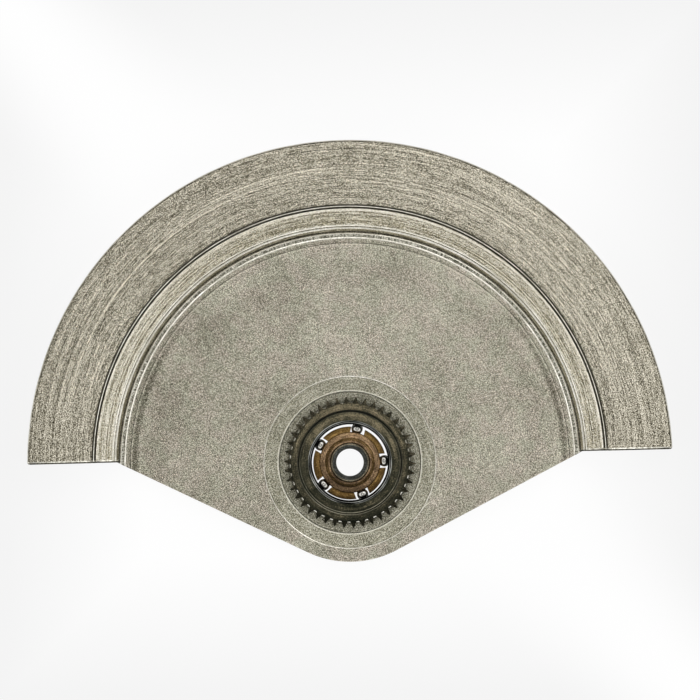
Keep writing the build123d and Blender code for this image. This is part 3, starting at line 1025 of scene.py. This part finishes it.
# %% [markdown]
# The inner ring of this bearing is split into two cones. The lower cone is one piece with the
# bored core, and the upper one is pressed over it. Its top has a turned groove.

# %% Upper cone and bored core
cone_outline = [
    (0.75, 0.07, 0, 0),
    (1.116, 0.07, 0, 0),
    (1.18, 0.1954, 0.01, 1),
    (1.18, 0.27, 0.01, 1),
    (1.14, 0.3004, 0.01, 0),
    (0.955, 0.3004, 0.012, 1),
    (0.925, 0.272, 0.012, 1),
    (0.872, 0.272, 0.012, 1),
    (0.848, 0.3004, 0.012, 0),
    (0.775, 0.3004, 0.01, 0),
    (0.75, 0.28, 0.01, 1),
]
work = turn_on_lathe(cone_outline, steps=288)
# The second finish paints shade in the groove and at the edges.
finishes = [stained_ring, cone_groove_painted_shade]
hand_over(work, "stained_upper_cone", "cone_ring", "core", finishes)
core_outline = [
    (0.53, -0.2504, 0.01, 0),
    (1.06, -0.2504, 0.01, 0),
    (1.06, -0.3004, 0.01, 0),
    (1.18, -0.3004, 0.03, 0),
    (1.18, -0.1954, 0.01, 0),
    (1.116, -0.07, 0, 0),
    (0.83, -0.07, 0, 0),
    (0.83, 0.07, 0, 0),
    (0.74, 0.07, 0, 0),
    (0.74, 0.385, 0.01, 1),
    (0.712, 0.4004, 0.008, 1),
    (0.69, 0.4004, 0, 0),
    (0.53, 0.4004, 0.02, 0),
]
work = turn_on_lathe(core_outline, steps=288)
hand_over(work, "bored_core", "bearing_core", "core", [core_steel, core_edge])

# %% [markdown]
# The rotor lies on a white table. To the camera and in reflections the table is as white as it
# is meant to look, whatever the lamps do, and a small part of it is real paper white that
# keeps the rotor's soft shadow. Its white falls off a little towards two opposite corners.

# %% Table
table_radius = 700
table = bmesh.new()
bmesh.ops.create_circle(table, cap_ends=True, radius=table_radius, segments=96)
bmesh.ops.translate(table, verts=table.verts[:], vec=(0, 0, underside - 0.002))
bmesh.ops.scale(table, vec=(MM, MM, MM), verts=table.verts[:])
table_mesh = bpy.data.meshes.new("white_table")
table.to_mesh(table_mesh)
table.free()
floor = bpy.data.objects.new("white_table", table_mesh)
bpy.context.collection.objects.link(floor)

camera_turn = math.radians(1.4)
picture_right = Vector((math.cos(camera_turn), -math.sin(camera_turn), 0))
picture_up = Vector((math.sin(camera_turn), math.cos(camera_turn), 0))
picture_centre = (picture_right * 0.002 + picture_up * 4.358) * MM
print("middle of the picture, in mm:", [round(part / MM, 2) for part in picture_centre])

# %% White of the table
picture_edge = 13.5
paper = bpy.data.materials.new("white_paper")
paper.use_nodes = True
tree = paper.node_tree
tree.nodes.clear()
place = add_node(tree, "TexCoord").outputs["Object"]
offset = calculate_vector(tree, "SUBTRACT", place, picture_centre)
ways = (picture_right / MM, picture_up / MM)
spot = [calculate_vector(tree, "DOT_PRODUCT", offset, way) for way in ways]
outward = calculate(tree, "MAXIMUM", *[calculate(tree, "ABSOLUTE", part) for part in spot])
beyond = calculate(tree, "SUBTRACT", outward, picture_edge)
diagonal = calculate(tree, "ABSOLUTE", calculate(tree, "ADD", *spot))
diagonal = calculate(tree, "MAXIMUM", diagonal, beyond)
fall = map_range(tree, outward, 8.0, 13.4)
off_streak = map_range(tree, diagonal, 0.0, 5.8, 0.0, -0.095, interpolation_type="SMOOTHSTEP")
white = calculate(tree, "MULTIPLY_ADD", fall, off_streak, 1.0)
seen_white = add_node(tree, "Emission", {"Strength": white})
lit_white = add_node(tree, "BsdfDiffuse", {"Color": linear("F4F4F4")})
mostly_white = add_node(
    tree, "MixShader", {0: 0.07, 1: seen_white.outputs[0], 2: lit_white.outputs[0]}
)
ray = add_node(tree, "LightPath").outputs
seen = ray["Is Camera Ray"]
for kind in ("Is Glossy Ray", "Is Transmission Ray"):
    seen = calculate(tree, "MAXIMUM", seen, ray[kind])
surface = add_node(
    tree, "MixShader", {0: seen, 1: lit_white.outputs[0], 2: mostly_white.outputs[0]}
)
add_node(tree, "OutputMaterial", {"Surface": surface.outputs[0]})
table_mesh.materials.append(paper)
print("nodes in the white of the table:", len(tree.nodes))

# %% [markdown]
# Small shiny things are photographed in a light tent, a white dome with lamps behind it. The
# world is that tent. It is bright halfway up, where a rounded edge looks when it is seen from
# above, and dark near the table, where steep walls look. That draws the edges of the steps. A
# small patch right overhead is bright and the ring round it dim, so flat metal shows its grain.

# %% Light tent
tent = bpy.data.worlds.new("light_tent")
bpy.context.scene.world = tent
tent.use_nodes = True
tree = tent.node_tree
tree.nodes.clear()
direction = add_node(tree, "TexCoord").outputs["Generated"]
height = add_node(tree, "SeparateXYZ", {0: direction}).outputs["Z"]
greys = [(0.0, 0.05), (0.22, 0.08), (0.36, 0.62), (0.50, 0.80), (0.72, 0.78), (0.82, 0.24)]
greys += [(0.97, 0.20), (0.985, 0.9), (1.0, 0.9)]
shades = [(place, (grey, grey, grey, 1.0)) for place, grey in greys]
dome = add_node(tree, "ValToRGB", {"Fac": height}, stops=shades)
tent_light = add_node(tree, "Background", {"Color": dome.outputs["Color"], "Strength": 1.9})
tent_seen = add_node(tree, "Background", {"Color": (0.93, 0.93, 0.93, 1.0)})
to_camera = add_node(tree, "LightPath").outputs["Is Camera Ray"]
background = add_node(
    tree, "MixShader", {0: to_camera, 1: tent_light.outputs[0], 2: tent_seen.outputs[0]}
)
add_node(tree, "OutputWorld", {"Surface": background.outputs[0]})
lamp_data = bpy.data.lights.new("soft_box", "AREA")
lamp_data.shape = "DISK"
lamp_data.size = 0.16
lamp_data.energy = 0.06
lamp = bpy.data.objects.new("soft_box", lamp_data)
lamp.location = (0.09, 0.16, 0.22)
lamp.rotation_euler = Vector(lamp.location).to_track_quat("Z", "Y").to_euler()
bpy.context.collection.objects.link(lamp)
print("soft box at", [round(part, 2) for part in lamp.location])

# %% [markdown]
# The camera looks straight down from far away through a long lens, as for a catalogue picture.
# The rotor lies turned by 1.4 degrees in it.

# %% Camera and colour
lens_length = 400
sensor_width = 36
camera_data = bpy.data.cameras.new("catalogue_camera")
camera_data.lens = lens_length
camera_data.sensor_width = sensor_width
camera = bpy.data.objects.new("catalogue_camera", camera_data)
view_width = 27.16 * MM
camera.location = picture_centre + Vector((0, 0, view_width * lens_length / sensor_width))
camera.rotation_euler = (0, 0, -camera_turn)
camera_data.clip_start = 0.01
camera_data.clip_end = 10
bpy.context.collection.objects.link(camera)
bpy.context.scene.camera = camera
bpy.context.scene.view_settings.view_transform = "Standard"
print("camera height:", round(camera.location.z, 3), "m")

# %% End of the scene
print("all pieces are built")
